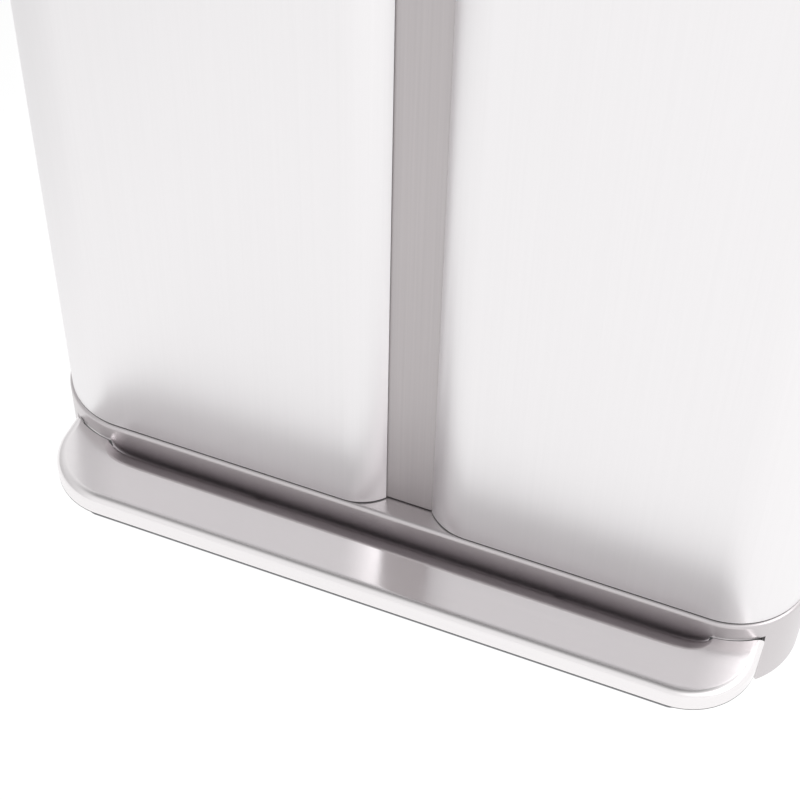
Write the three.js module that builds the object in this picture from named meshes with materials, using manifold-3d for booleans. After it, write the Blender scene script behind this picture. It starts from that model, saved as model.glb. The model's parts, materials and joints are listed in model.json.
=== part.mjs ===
// Two-compartment pedal bin, millimetres, +Z up, front towards -Y.
// The origin is at floor level in the middle of the bin's outer box.
import * as THREE from 'three';
import { mergeVertices } from 'three/addons/utils/BufferGeometryUtils.js';
import Module from 'manifold-3d';

const wasm = await Module();
wasm.setup();

// ---------------------------------------------------------------- driving dimensions
const GAP = 0.3; // air left between two touching pieces
const SHEET = 0.8; // steel sheet of the shells and lid
const ARC_STEPS = 10; // facets in a quarter of a large corner

const HALF_WIDTH = 290;
const FRONT_Y = -104; // plane of the two front panels
const BACK_Y = 162;
const FRONT_RADIUS = 58.3;
const BACK_RADIUS = 36;
const BACK_FLANGE_X = 225; // where each shell ends on the back

const RECESS_RADIUS = 38.8; // bulge of a panel's inner edge beside the centre strip
const RECESS_CENTRE_X = 47.2;
const RECESS_SWEEP = 49; // degrees of that bulge
const STRIP_DEPTH = 14.7;
const STRIP_HALF_WIDTH = 22;
const STRIP_SHEET = 1;

const BASE_OFFSET = 2; // how far the base stands proud of the shells
const BASE_BOTTOM = 3;
const BASE_TOP = 79;
const BASE_WALL = 3.5;
const BASE_EDGE = 3.5; // rounding of the base's top edge
const DECK = 3;
const LOCATING_RIM = 10; // height of the rim that the shells drop over
const FRONT_WALL_BOTTOM = 34; // lower edge of the middle of the base's front wall
const FRONT_WALL_HALF = 234;
const CORNER_WALL_BOTTOM = 61.5; // lower edge of the front wall's corners
const SLOT_EDGE_Y = FRONT_Y + 15.2; // where the pedal slot ends on each side

const SHELL_BOTTOM = BASE_TOP + 1.2;
const SHELL_TOP = 641;
const COLLAR_BOTTOM = SHELL_TOP + GAP;
const COLLAR = 3;
const COLLAR_TOP = COLLAR_BOTTOM + COLLAR;
const COLLAR_SKIRT = 25;
const COLLAR_SKIRT_WALL = 2.5;

const LID_OVERHANG = 1;
const LID_BOTTOM = COLLAR_TOP + 2;
const LID_HEIGHT = 22;
const LID_TOP = LID_BOTTOM + LID_HEIGHT;
const LID_EDGE = 5; // rounding of the lid's top edge
const LID_FRAME = 2.5;
const LID_ANGLE = 75; // opening of the lid, degrees
const HINGE_Y = BACK_Y - 46;
const NOSE_RADIUS = LID_HEIGHT / 2; // half-round back edge of the lid, around the hinge axis
const HINGE_Z = LID_BOTTOM + NOSE_RADIUS;
const HINGE_X = 200;
const HINGE_BLOCK_HALF = 14;
const HINGE_PIN_RADIUS = 3;
const HINGE_PIN_HALF = 28;

const BUCKET_X = 145; // middle of each bucket
const BUCKET_HALF_X = 129.5;
const BUCKET_HALF_Y = 92.5;
const BUCKET_CORNER = 46;
const BUCKET_WALL = 2;
const BUCKET_BOTTOM = 86;
const BUCKET_DRAFT = 0.9; // size of the bucket's bottom against its top
const BUCKET_FLANGE = 2.5;
const BUCKET_FLANGE_HEIGHT = 2.5;
const SEAT_CLEARANCE = 1.5; // round each bucket in its collar opening

const PEDAL_REACH = 60; // from the panels' plane to the pedal's lip
const PEDAL_HALF = 272.4;
const PEDAL_CORNER = 52;
const PEDAL_BEAD = 7.3; // rounding between the plate and its lip
const PEDAL_TOP = BASE_TOP - 12; // top of the plate along its front crease
const PEDAL_LIP_BOTTOM = BASE_TOP - 30;
const PEDAL_TILT = -0.083; // the plate falls towards the bin
const PEDAL_SHEET = 1.5;
const PEDAL_GAP = 1.2; // in plan, between the plate and the base
const ROLL_RADIUS = 18; // rolled-down back edge of the plate
const ROLL_Y = FRONT_Y - 22;
const ROLL_HALF = 222;

const PIVOT_Y = FRONT_Y + 70;
const PIVOT_Z = 25;
const PEDAL_ANGLE = 10; // travel of the pedal, degrees
const SHAFT_RADIUS = 4;
const SHAFT_HALF = 146;
const ARM_X = 120;
const ARM_THICK = 5;
const BRACKET_X = 137;
const TUBE_RADIUS = 8;
const LEVER_HALF = 7;
const LEVER_TOP = PIVOT_Z + 5;

const ROD_RADIUS = 4;
const DAMPER_Y = 125;
const DAMPER_RADIUS = 9;
const PISTON_ROD_RADIUS = 3;

const FOOT_X = 245;
const FOOT_Y = [-62, 128];
const POST_RADIUS = 14;
const FOOT_RADIUS = 12;

// ---------------------------------------------------------------- derived dimensions
const radians = THREE.MathUtils.degToRad;
const HALF_SWING = radians(LID_ANGLE / 2);
const EDGE_Y = FRONT_Y - PEDAL_REACH;

// The lift rod stands where the pedal's lever raises it through the lid's whole swing.
const LEVER_RISE = Math.tan(radians(PEDAL_ANGLE));
const SWING_WIDTH = 2 * Math.tan(HALF_SWING);
const CRANK = (HINGE_Y - PIVOT_Y) * LEVER_RISE / (SWING_WIDTH + LEVER_RISE);
const ROD_Y = HINGE_Y - CRANK;
const PAD_OFFSET = 3; // pad of the lid's lever, below the line through the hinge axis
const PAD_Z = HINGE_Z - CRANK * Math.tan(HALF_SWING) - PAD_OFFSET / Math.cos(HALF_SWING);
const ROD_TOP_CLEARANCE = 1.6;
const ROD_TOP = PAD_Z - ROD_TOP_CLEARANCE;
const ROD_BOTTOM = LEVER_TOP + 0.4;

// ---------------------------------------------------------------- materials
function finish(color, roughness, metalness) {
  return () => new THREE.MeshStandardMaterial({ color, roughness, metalness });
}
const brushedSteel = finish(0xd9d8d7, 0.32, 1);
const greyStrip = finish(0xb9b4b4, 0.4, 0.9);
const baseMetal = finish(0xc4bfbe, 0.38, 0.9);
const blackPlastic = finish(0x232326, 0.55, 0);
const greyPlastic = finish(0x6f7073, 0.6, 0);
const plainSteel = finish(0x9c9da0, 0.35, 1);
const darkRubber = finish(0x1b1b1c, 0.9, 0);

// ---------------------------------------------------------------- solids
function toSolid(geometry) {
  const bare = geometry.clone();
  bare.deleteAttribute('normal');
  bare.deleteAttribute('uv');
  const merged = mergeVertices(bare, 1e-3);
  const kept = [];
  for (let i = 0; i < merged.index.count; i += 3) {
    const [a, b, c] = [0, 1, 2].map((k) => merged.index.getX(i + k));
    if (a !== b && b !== c && c !== a) kept.push(a, b, c);
  }
  const vertProperties = new Float32Array(merged.attributes.position.array);
  const triVerts = new Uint32Array(kept);
  return new wasm.Manifold(new wasm.Mesh({ numProp: 3, vertProperties, triVerts }));
}

function toGeometry(solid) {
  const mesh = solid.getMesh();
  const geometry = new THREE.BufferGeometry();
  const positions = new Float32Array(mesh.vertProperties);
  geometry.setAttribute('position', new THREE.BufferAttribute(positions, 3));
  geometry.setIndex(new THREE.BufferAttribute(new Uint32Array(mesh.triVerts), 1));
  geometry.computeVertexNormals();
  return geometry;
}

function joined(...solids) {
  return solids.reduce((all, next) => all.add(next));
}

function without(solid, ...cuts) {
  return cuts.reduce((left, cut) => left.subtract(cut), solid);
}

function box(low, high) {
  const size = high.map((value, i) => value - low[i]);
  const centre = high.map((value, i) => (value + low[i]) / 2);
  return toSolid(new THREE.BoxGeometry(...size).translate(...centre));
}

function prism(points, low, high) {
  const shape = new THREE.Shape(points);
  const geometry = new THREE.ExtrudeGeometry(shape, { depth: high - low, bevelEnabled: false });
  return toSolid(geometry.translate(0, 0, low));
}

// A prism whose top edge is rounded over, standing between low and high.
function roundedPrism(points, low, high, width, height, steps) {
  const shape = new THREE.Shape(points);
  const geometry = new THREE.ExtrudeGeometry(shape, {
    depth: high - low,
    bevelEnabled: true,
    bevelThickness: height,
    bevelSize: width,
    bevelOffset: -width,
    bevelSegments: steps,
  });
  const solid = toSolid(geometry.translate(0, 0, low - height));
  return without(solid, box([-400, -400, low - 2 * height], [400, 400, low]));
}

// A profile of [y, z] points, extruded along X between two places.
function profileAlongX(points, low, high) {
  const shape = new THREE.Shape(points.map(([y, z]) => new THREE.Vector2(y, z)));
  const geometry = new THREE.ExtrudeGeometry(shape, { depth: high - low, bevelEnabled: false });
  const turn = new THREE.Matrix4().makeBasis(
    new THREE.Vector3(0, 1, 0),
    new THREE.Vector3(0, 0, 1),
    new THREE.Vector3(1, 0, 0),
  );
  return toSolid(geometry.applyMatrix4(turn).translate(low, 0, 0));
}

// A body of revolution about Z, from [radius, z] points that start and end on the axis.
function turned(points, segments, x = 0, y = 0) {
  const profile = points.map(([radius, z]) => new THREE.Vector2(radius, z));
  const geometry = new THREE.LatheGeometry(profile, segments);
  return toSolid(geometry.rotateX(Math.PI / 2).translate(x, y, 0));
}

function upright(radius, low, high, segments, x = 0, y = 0) {
  return turned([[0, low], [radius, low], [radius, high], [0, high]], segments, x, y);
}

// A round bar along X.
function bar(radius, low, high, y, z, segments) {
  const geometry = new THREE.CylinderGeometry(radius, radius, high - low, segments);
  return toSolid(geometry.rotateZ(Math.PI / 2).translate((low + high) / 2, y, z));
}

function arc(x, y, radius, from, to, steps = ARC_STEPS) {
  const points = [];
  for (let i = 0; i <= steps; i += 1) {
    const angle = radians(from + (to - from) * i / steps);
    points.push(new THREE.Vector2(x + radius * Math.cos(angle), y + radius * Math.sin(angle)));
  }
  return points;
}

// ---------------------------------------------------------------- outlines
// Rounded rectangle with its front corners and its back corners given apart.
function roundedRectangle(left, front, right, back, frontRadius, backRadius) {
  return [
    ...arc(left + frontRadius, front + frontRadius, frontRadius, 180, 270),
    ...arc(right - frontRadius, front + frontRadius, frontRadius, 270, 360),
    ...arc(right - backRadius, back - backRadius, backRadius, 0, 90),
    ...arc(left + backRadius, back - backRadius, backRadius, 90, 180),
  ];
}

// Plan of the bin without its centre recess, moved outwards by the offset.
function binPlan(offset) {
  return roundedRectangle(
    -HALF_WIDTH - offset,
    FRONT_Y - offset,
    HALF_WIDTH + offset,
    BACK_Y + offset,
    FRONT_RADIUS + offset,
    BACK_RADIUS + offset,
  );
}

// One side of the right shell's sheet, from its edge beside the strip to its back flange.
function shellLine(inset) {
  const bulge = RECESS_RADIUS - inset;
  const corner = FRONT_RADIUS - inset;
  const rear = BACK_RADIUS - inset;
  const cornerX = HALF_WIDTH - FRONT_RADIUS;
  const rearX = HALF_WIDTH - BACK_RADIUS;
  return [
    ...arc(RECESS_CENTRE_X, FRONT_Y + RECESS_RADIUS, bulge, 270 - RECESS_SWEEP, 270, 8),
    ...arc(cornerX, FRONT_Y + FRONT_RADIUS, corner, 270, 360),
    ...arc(rearX, BACK_Y - BACK_RADIUS, rear, 0, 90, 8),
    new THREE.Vector2(BACK_FLANGE_X, BACK_Y - inset),
  ];
}

function mirrored(points) {
  return points.map((point) => new THREE.Vector2(-point.x, point.y)).reverse();
}

// ---------------------------------------------------------------- assembly
const bin = new THREE.Group();

function addPiece(name, solid, material) {
  const mesh = new THREE.Mesh(toGeometry(solid), material());
  mesh.name = name;
  bin.add(mesh);
}

// ---------------------------------------------------------------- base and feet
function pedalSlot() {
  const low = EDGE_Y;
  const across = box([-HALF_WIDTH, low, 0], [HALF_WIDTH, SLOT_EDGE_Y, CORNER_WALL_BOTTOM]);
  const middle = box([-FRONT_WALL_HALF, low, FRONT_WALL_BOTTOM], [FRONT_WALL_HALF, 0, BASE_TOP]);
  return without(across, middle);
}

function locatingRim() {
  const outer = SHEET + 1;
  const inner = outer + COLLAR_SKIRT_WALL;
  const top = BASE_TOP + LOCATING_RIM;
  const middle = FRONT_Y + STRIP_DEPTH + STRIP_SHEET + 1;
  const ring = without(
    prism(binPlan(-outer), BASE_TOP - 1, top),
    prism(binPlan(-inner), BASE_TOP - 2, top + 1),
  );
  const notchHalf = RECESS_CENTRE_X;
  const notch = box([-notchHalf, FRONT_Y, BASE_TOP - 2], [notchHalf, middle, top + 1]);
  const sides = [-notchHalf, notchHalf - COLLAR_SKIRT_WALL].map((x) => (
    box([x, FRONT_Y + outer, BASE_TOP - 1], [x + COLLAR_SKIRT_WALL, middle, top])
  ));
  const behind = box(
    [-notchHalf, middle, BASE_TOP - 1],
    [notchHalf, middle + COLLAR_SKIRT_WALL, top],
  );
  return joined(without(ring, notch), behind, ...sides);
}

function addBase() {
  const edge = roundedPrism(
    binPlan(BASE_OFFSET), BASE_BOTTOM, BASE_TOP, BASE_EDGE, BASE_EDGE, 4,
  );
  const cavity = prism(binPlan(BASE_OFFSET - BASE_WALL), BASE_BOTTOM - 1, BASE_TOP - DECK);
  const posts = [];
  for (const x of [-FOOT_X, FOOT_X]) {
    for (const y of FOOT_Y) posts.push(upright(POST_RADIUS, 4, BASE_TOP - 1, 20, x, y));
  }
  const rodHole = upright(ROD_RADIUS + 5, 60, BASE_TOP + 1, 16, 0, ROD_Y);
  const tub = without(edge, cavity, pedalSlot(), rodHole);
  addPiece('base', joined(tub, locatingRim(), ...posts), baseMetal);
}

function addFeet() {
  const sides = [['left', -FOOT_X], ['right', FOOT_X]];
  const ends = [['front', FOOT_Y[0]], ['back', FOOT_Y[1]]];
  for (const [side, x] of sides) {
    for (const [end, y] of ends) {
      const outline = [[0, 0], [FOOT_RADIUS - 1, 0], [FOOT_RADIUS, 1], [FOOT_RADIUS, 3.7], [0, 3.7]];
      addPiece(`foot_${end}_${side}`, turned(outline, 24, x, y), darkRubber);
    }
  }
}

// ---------------------------------------------------------------- steel body
function addShells() {
  const right = [...shellLine(0), ...shellLine(SHEET).reverse()];
  addPiece('right_shell', prism(right, SHELL_BOTTOM, SHELL_TOP), brushedSteel);
  addPiece('left_shell', prism(mirrored(right), SHELL_BOTTOM, SHELL_TOP), brushedSteel);
}

function addCentreStrip() {
  const front = FRONT_Y + STRIP_DEPTH;
  const strip = box(
    [-STRIP_HALF_WIDTH, front, SHELL_BOTTOM],
    [STRIP_HALF_WIDTH, front + STRIP_SHEET, SHELL_TOP],
  );
  addPiece('centre_strip', strip, greyStrip);
}

function addBackPanel() {
  const face = BACK_Y - SHEET - GAP;
  const half = BACK_FLANGE_X + 12;
  const low = BASE_TOP + GAP;
  const panel = box([-half, face - 2.5, low], [half, face, SHELL_TOP]);
  const clearOfRim = box(
    [-HALF_WIDTH, face - 3, low - 1],
    [HALF_WIDTH, face - 0.4, BASE_TOP + LOCATING_RIM + 1],
  );
  addPiece('back_panel', without(panel, clearOfRim), greyPlastic);
}

function addDivider() {
  const front = FRONT_Y + STRIP_DEPTH + 8;
  const wall = box(
    [-1.5, front, BASE_TOP + GAP],
    [1.5, ROD_Y - 14, COLLAR_BOTTOM - GAP],
  );
  addPiece('divider', wall, greyPlastic);
}

function seatPlan(side, margin) {
  const halfX = BUCKET_HALF_X + margin;
  const halfY = BUCKET_HALF_Y + margin;
  const x = side * BUCKET_X;
  const corner = BUCKET_CORNER + margin;
  return roundedRectangle(x - halfX, -halfY, x + halfX, halfY, corner, corner);
}

function addCollar() {
  const plate = prism(binPlan(0), COLLAR_BOTTOM, COLLAR_TOP);
  const low = COLLAR_BOTTOM - COLLAR_SKIRT;
  const skirts = [];
  const openings = [];
  for (const side of [-1, 1]) {
    skirts.push(prism(seatPlan(side, SEAT_CLEARANCE + COLLAR_SKIRT_WALL), low, COLLAR_TOP));
    openings.push(prism(seatPlan(side, SEAT_CLEARANCE), low - 1, COLLAR_TOP + 1));
  }
  const leverHole = box([-11, ROD_Y - 13, low], [11, HINGE_Y + 3, COLLAR_TOP + 1]);
  const noseRoom = bar(NOSE_RADIUS + 1.2, -HALF_WIDTH - 1, HALF_WIDTH + 1, HINGE_Y, HINGE_Z, 32);
  const collar = without(joined(plate, ...skirts), ...openings, leverHole, noseRoom);
  addPiece('collar', collar, blackPlastic);
  for (const [name, side] of [['left', -1], ['right', 1]]) {
    const x = side * (HALF_WIDTH - 5);
    const bumper = upright(3, COLLAR_TOP + GAP, LID_BOTTOM - GAP, 14, x, FRONT_Y + 74);
    addPiece(`lid_bumper_${name}`, bumper, darkRubber);
  }
}

// ---------------------------------------------------------------- lid and hinge
function lidPlan(inset, back) {
  const edge = LID_OVERHANG - inset;
  const radius = FRONT_RADIUS + edge;
  const x = HALF_WIDTH + edge;
  return [
    ...arc(-x + radius, FRONT_Y - edge + radius, radius, 180, 270),
    ...arc(x - radius, FRONT_Y - edge + radius, radius, 270, 360),
    new THREE.Vector2(x, back),
    new THREE.Vector2(-x, back),
  ];
}

function addLidSkin() {
  const back = HINGE_Y - 6;
  const beyond = back + 30;
  const outer = roundedPrism(lidPlan(0, beyond), LID_BOTTOM, LID_TOP, LID_EDGE, LID_EDGE, 3);
  const inner = roundedPrism(
    lidPlan(SHEET, beyond), LID_BOTTOM - 8, LID_TOP - SHEET, LID_EDGE - SHEET, LID_EDGE - SHEET, 3,
  );
  const behind = box([-400, back, LID_BOTTOM - 1], [400, back + 60, LID_TOP + 1]);
  addPiece('lid_skin', without(outer, inner, behind), brushedSteel);
}

// The lid's plastic frame: a rim inside the skin, and the half-round back edge.
function addLidFrame() {
  const back = HINGE_Y - 3;
  const inset = SHEET + GAP;
  const top = LID_TOP - inset;
  const corner = LID_EDGE - SHEET;
  const outer = roundedPrism(lidPlan(inset, HINGE_Y + 30), LID_BOTTOM, top, corner, corner, 2);
  const behind = box([-400, back, LID_BOTTOM - 1], [400, back + 60, LID_TOP + 1]);
  const hollow = prism(
    lidPlan(inset + LID_FRAME, HINGE_Y - NOSE_RADIUS - 1), LID_BOTTOM - 1, LID_TOP,
  );
  const rodRoom = box([-12, HINGE_Y - NOSE_RADIUS - 3, LID_BOTTOM - 1], [12, HINGE_Y, HINGE_Z]);
  const noseHalf = HALF_WIDTH + LID_OVERHANG - inset;
  const nose = bar(NOSE_RADIUS, -noseHalf, noseHalf, HINGE_Y, HINGE_Z, 32);
  const skinRoom = box([-400, HINGE_Y - 20, top], [400, HINGE_Y - 5.7, LID_TOP + 1]);
  let frame = without(joined(without(outer, behind, hollow, rodRoom), nose), skinRoom);
  for (const side of [-1, 1]) {
    const shoulder = side * (noseHalf - LID_EDGE + 3);
    const roundedCorner = box(
      [shoulder - 3, HINGE_Y - NOSE_RADIUS - 0.5, top - LID_EDGE],
      [shoulder + 3, HINGE_Y - 5.7, LID_TOP + 1],
    );
    const x = side * HINGE_X;
    const reach = HINGE_BLOCK_HALF + 1;
    const low = [x - reach, HINGE_Y - 8, LID_BOTTOM - 1];
    const pocket = box(low, [x + reach, HINGE_Y + 20, LID_TOP + 1]);
    const sweep = bar(NOSE_RADIUS + 0.5, x - reach, x + reach, HINGE_Y, HINGE_Z, 24);
    const bore = bar(
      HINGE_PIN_RADIUS + GAP, x - HINGE_PIN_HALF - 1, x + HINGE_PIN_HALF + 1, HINGE_Y, HINGE_Z, 16,
    );
    frame = without(frame, roundedCorner, pocket, sweep, bore);
  }
  addPiece('lid_frame', frame, blackPlastic);
}

// The flat inner panel that closes the lid's underside.
function addLidPanel() {
  const top = LID_TOP - SHEET - GAP;
  const plan = lidPlan(SHEET + LID_FRAME + 2 * GAP, HINGE_Y - NOSE_RADIUS - 1 - GAP);
  addPiece('lid_panel', prism(plan, top - LID_FRAME, top), blackPlastic);
}

// The lever under the lid's back edge, whose pad the lift rod pushes.
function addLidLever() {
  const reach = CRANK + 7;
  const slope = Math.tan(HALF_SWING);
  const padZ = (distance) => HINGE_Z - distance * slope - PAD_OFFSET / Math.cos(HALF_SWING);
  const ceiling = LID_TOP - SHEET - GAP - LID_FRAME - GAP;
  const outline = [
    [HINGE_Y - NOSE_RADIUS - 1.3, ceiling],
    [HINGE_Y - reach, ceiling],
    [HINGE_Y - reach, padZ(reach - 3)],
    [HINGE_Y - reach + 3, padZ(reach - 3)],
    [HINGE_Y - NOSE_RADIUS - 1.3, padZ(NOSE_RADIUS + 1.3)],
  ];
  addPiece('lid_lever', profileAlongX(outline, -8, 8), plainSteel);
}

function addHinges() {
  for (const [name, side] of [['left', -1], ['right', 1]]) {
    const x = side * HINGE_X;
    const low = COLLAR_TOP + GAP;
    const eye = bar(9, x - HINGE_BLOCK_HALF, x + HINGE_BLOCK_HALF, HINGE_Y, HINGE_Z, 24);
    const body = box(
      [x - HINGE_BLOCK_HALF, HINGE_Y, low], [x + HINGE_BLOCK_HALF, HINGE_Y + 36, low + 9],
    );
    const web = box(
      [x - HINGE_BLOCK_HALF, HINGE_Y, low], [x + HINGE_BLOCK_HALF, HINGE_Y + 9, HINGE_Z],
    );
    const reach = HINGE_BLOCK_HALF + 1;
    const bore = bar(HINGE_PIN_RADIUS + GAP, x - reach, x + reach, HINGE_Y, HINGE_Z, 16);
    addPiece(`hinge_block_${name}`, without(joined(eye, body, web), bore), blackPlastic);
    const pin = bar(HINGE_PIN_RADIUS, x - HINGE_PIN_HALF, x + HINGE_PIN_HALF, HINGE_Y, HINGE_Z, 16);
    addPiece(`hinge_pin_${name}`, pin, plainSteel);
    for (const [place, dx] of [['inner', -8], ['outer', 8]]) {
      const head = low + 9 + GAP;
      const screw = turned(
        [[0, head], [4, head], [4, head + 1.2], [2.6, head + 2.6], [0, head + 2.6]],
        12, x + side * dx, HINGE_Y + 26,
      );
      addPiece(`hinge_screw_${name}_${place}`, screw, plainSteel);
    }
  }
}

function addHingeCover() {
  const front = HINGE_Y + NOSE_RADIUS + 1.2;
  const offset = LID_OVERHANG;
  const low = COLLAR_TOP + GAP;
  const plan = binPlan(offset);
  const outer = roundedPrism(plan, low, LID_TOP, LID_EDGE, LID_EDGE, 3);
  const inner = prism(binPlan(offset - 2.5), low - 1, LID_TOP - 2.5);
  const ahead = box([-400, -400, low - 2], [400, front, LID_TOP + 1]);
  addPiece('hinge_cover', without(outer, inner, ahead), blackPlastic);
}

// ---------------------------------------------------------------- buckets
// A drafted box of the bucket's plan, narrower towards its bottom.
function draftedBucket(side, margin, low, high) {
  const x = side * BUCKET_X;
  const plan = seatPlan(side, margin);
  const shape = new THREE.Shape(plan);
  const geometry = new THREE.ExtrudeGeometry(shape, { depth: 1, bevelEnabled: false });
  const position = geometry.attributes.position;
  for (let i = 0; i < position.count; i += 1) {
    const z = low + position.getZ(i) * (high - low);
    const height = (z - BUCKET_BOTTOM) / (COLLAR_TOP - BUCKET_BOTTOM);
    const size = BUCKET_DRAFT + (1 - BUCKET_DRAFT) * Math.min(Math.max(height, 0), 1);
    position.setXYZ(i, x + (position.getX(i) - x) * size, position.getY(i) * size, z);
  }
  return toSolid(geometry);
}

function addBuckets() {
  for (const [name, side] of [['left', -1], ['right', 1]]) {
    const rimLow = COLLAR_TOP + GAP;
    const rimTop = rimLow + BUCKET_FLANGE_HEIGHT;
    const outer = draftedBucket(side, 0, BUCKET_BOTTOM, rimTop);
    const flange = prism(seatPlan(side, BUCKET_FLANGE), rimLow, rimTop);
    const inner = draftedBucket(side, -BUCKET_WALL, BUCKET_BOTTOM + 2.5, rimTop + 1);
    addPiece(`bucket_${name}`, without(joined(outer, flange), inner), greyPlastic);
  }
}

// ---------------------------------------------------------------- pedal
function pedalPlan(inset) {
  const radius = PEDAL_CORNER - inset;
  const x = PEDAL_HALF - inset;
  const front = EDGE_Y + inset;
  const back = FRONT_Y + 60;
  return [
    ...arc(-x + radius, front + radius, radius, 180, 270),
    ...arc(x - radius, front + radius, radius, 270, 360),
    new THREE.Vector2(x, back),
    new THREE.Vector2(-x, back),
  ];
}

// Slopes a solid so that it rises by the slope for each millimetre behind a place.
function sloped(solid, slope, y) {
  const geometry = toGeometry(solid);
  const position = geometry.attributes.position;
  for (let i = 0; i < position.count; i += 1) {
    position.setZ(i, position.getZ(i) + slope * (position.getY(i) - y));
  }
  return toSolid(geometry);
}

function pedalBody(inset) {
  const bead = PEDAL_BEAD - inset;
  const low = PEDAL_LIP_BOTTOM - 20;
  const solid = roundedPrism(pedalPlan(inset), low, PEDAL_TOP - inset, bead, bead, 4);
  return sloped(solid, PEDAL_TILT, EDGE_Y + PEDAL_BEAD);
}

// What the plate leaves free at its back: the base's corners and the long notch.
function pedalBackRoom() {
  const baseRoom = prism(binPlan(BASE_OFFSET + PEDAL_GAP), 0, BASE_TOP);
  const wallY = FRONT_Y - BASE_OFFSET - PEDAL_GAP;
  const half = [[ROLL_HALF, ROLL_Y], [ROLL_HALF + 3, wallY - 10], [ROLL_HALF + 10, wallY - 3]];
  const edge = [...half, [ROLL_HALF + 17, wallY + 1]];
  const right = edge.map(([x, y]) => new THREE.Vector2(x, y));
  const notch = prism([...mirrored(right), ...right], 0, BASE_TOP);
  const beyond = box([-400, SLOT_EDGE_Y - PEDAL_GAP, 0], [400, 200, BASE_TOP]);
  return joined(baseRoom, notch, beyond);
}

// The quarter-round that the plate's back edge is rolled down into.
function pedalRoll() {
  const top = PEDAL_TOP + PEDAL_TILT * (ROLL_Y - EDGE_Y - PEDAL_BEAD);
  const z = top - ROLL_RADIUS;
  const outside = arc(ROLL_Y, z, ROLL_RADIUS, 95, 2, 8);
  const inside = arc(ROLL_Y, z, ROLL_RADIUS - PEDAL_SHEET, 2, 95, 8);
  const outline = [...outside, ...inside].map((point) => [point.x, point.y]);
  return profileAlongX(outline, -ROLL_HALF, ROLL_HALF);
}

function addPedalPlate() {
  const underside = box([-400, EDGE_Y - 10, -20], [400, FRONT_Y + 80, PEDAL_LIP_BOTTOM]);
  const shell = without(
    pedalBody(0),
    pedalBody(PEDAL_SHEET),
    sloped(underside, -0.04, EDGE_Y),
    pedalBackRoom(),
  );
  addPiece('pedal_plate', joined(shell, pedalRoll()), brushedSteel);
}

// A tub inside the pedal, with a thin rim that shows below the lip between its corners.
function addPedalTray() {
  const low = PEDAL_LIP_BOTTOM - 2.7;
  const front = EDGE_Y + 2.3;
  const back = ROLL_Y - 4;
  const plan = (inset) => roundedRectangle(
    -230 + inset, front + inset, 230 - inset, back - inset, 8 - inset, 8 - inset,
  );
  const rimPlan = roundedRectangle(-230, EDGE_Y + 0.8, 230, front + 12, 8, 2);
  const rim = prism(rimPlan, low, low + 2.2);
  const tub = without(
    prism(plan(0), low, PEDAL_TOP - 10),
    prism(plan(2.5), low + 2.5, PEDAL_TOP),
  );
  addPiece('pedal_tray', joined(tub, rim), greyPlastic);
}

function addPedalArms() {
  const trayBottom = PEDAL_LIP_BOTTOM - 2.7 - GAP;
  const underWall = FRONT_WALL_BOTTOM - 1;
  const eye = arc(PIVOT_Y, PIVOT_Z, 11, 90, -90, 10).map((point) => [point.x, point.y]);
  const outline = [
    [FRONT_Y - 52, trayBottom],
    [FRONT_Y - 27, trayBottom],
    [FRONT_Y - 10, underWall],
    [FRONT_Y + 6, underWall],
    ...eye,
    [FRONT_Y - 8, 20],
    [FRONT_Y - 30, trayBottom - 9],
    [FRONT_Y - 52, trayBottom - 9],
  ];
  for (const [name, side] of [['left', -1], ['right', 1]]) {
    const x = side * ARM_X;
    const plate = profileAlongX(outline, x - ARM_THICK / 2, x + ARM_THICK / 2);
    const bore = bar(SHAFT_RADIUS + GAP, x - 5, x + 5, PIVOT_Y, PIVOT_Z, 20);
    addPiece(`pedal_arm_${name}`, without(plate, bore), plainSteel);
  }
}

function addCrossTube() {
  const half = ARM_X - ARM_THICK / 2 - GAP;
  const tube = bar(TUBE_RADIUS, -half, half, PIVOT_Y, PIVOT_Z, 24);
  const bore = bar(SHAFT_RADIUS + GAP, -half - 1, half + 1, PIVOT_Y, PIVOT_Z, 20);
  addPiece('pedal_cross_tube', without(tube, bore), plainSteel);
}

function addPedalLever() {
  const low = PIVOT_Z - 5;
  const blank = box([-LEVER_HALF, PIVOT_Y, low], [LEVER_HALF, ROD_Y + 12, LEVER_TOP]);
  const tubeRoom = bar(TUBE_RADIUS + GAP, -20, 20, PIVOT_Y, PIVOT_Z, 24);
  addPiece('pedal_lever', without(blank, tubeRoom), plainSteel);
}

function addPedalPivot() {
  const shaft = bar(SHAFT_RADIUS, -SHAFT_HALF, SHAFT_HALF, PIVOT_Y, PIVOT_Z, 20);
  addPiece('pedal_shaft', shaft, plainSteel);
  const top = BASE_TOP - DECK - GAP;
  const lower = arc(PIVOT_Y, PIVOT_Z, 12, 180, 360, 10).map((point) => [point.x, point.y]);
  const outline = [...lower, [PIVOT_Y + 20, top], [PIVOT_Y - 20, top]];
  for (const [name, side] of [['left', -1], ['right', 1]]) {
    const x = side * BRACKET_X;
    const plate = profileAlongX(outline, x - 3, x + 3);
    const bore = bar(SHAFT_RADIUS + GAP, x - 5, x + 5, PIVOT_Y, PIVOT_Z, 20);
    addPiece(`pivot_bracket_${name}`, without(plate, bore), blackPlastic);
  }
}

// ---------------------------------------------------------------- lift rod and damper
function addLiftRod() {
  const dome = (z, from, to) => arc(0, z, ROD_RADIUS, from, to, 4).map((p) => [p.x, p.y]);
  const outline = [
    ...dome(ROD_BOTTOM + ROD_RADIUS, -90, 0),
    ...dome(ROD_TOP - ROD_RADIUS, 0, 90),
  ];
  outline[0][0] = 0;
  outline[outline.length - 1][0] = 0;
  addPiece('lift_rod', turned(outline, 16, 0, ROD_Y), plainSteel);
}

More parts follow.
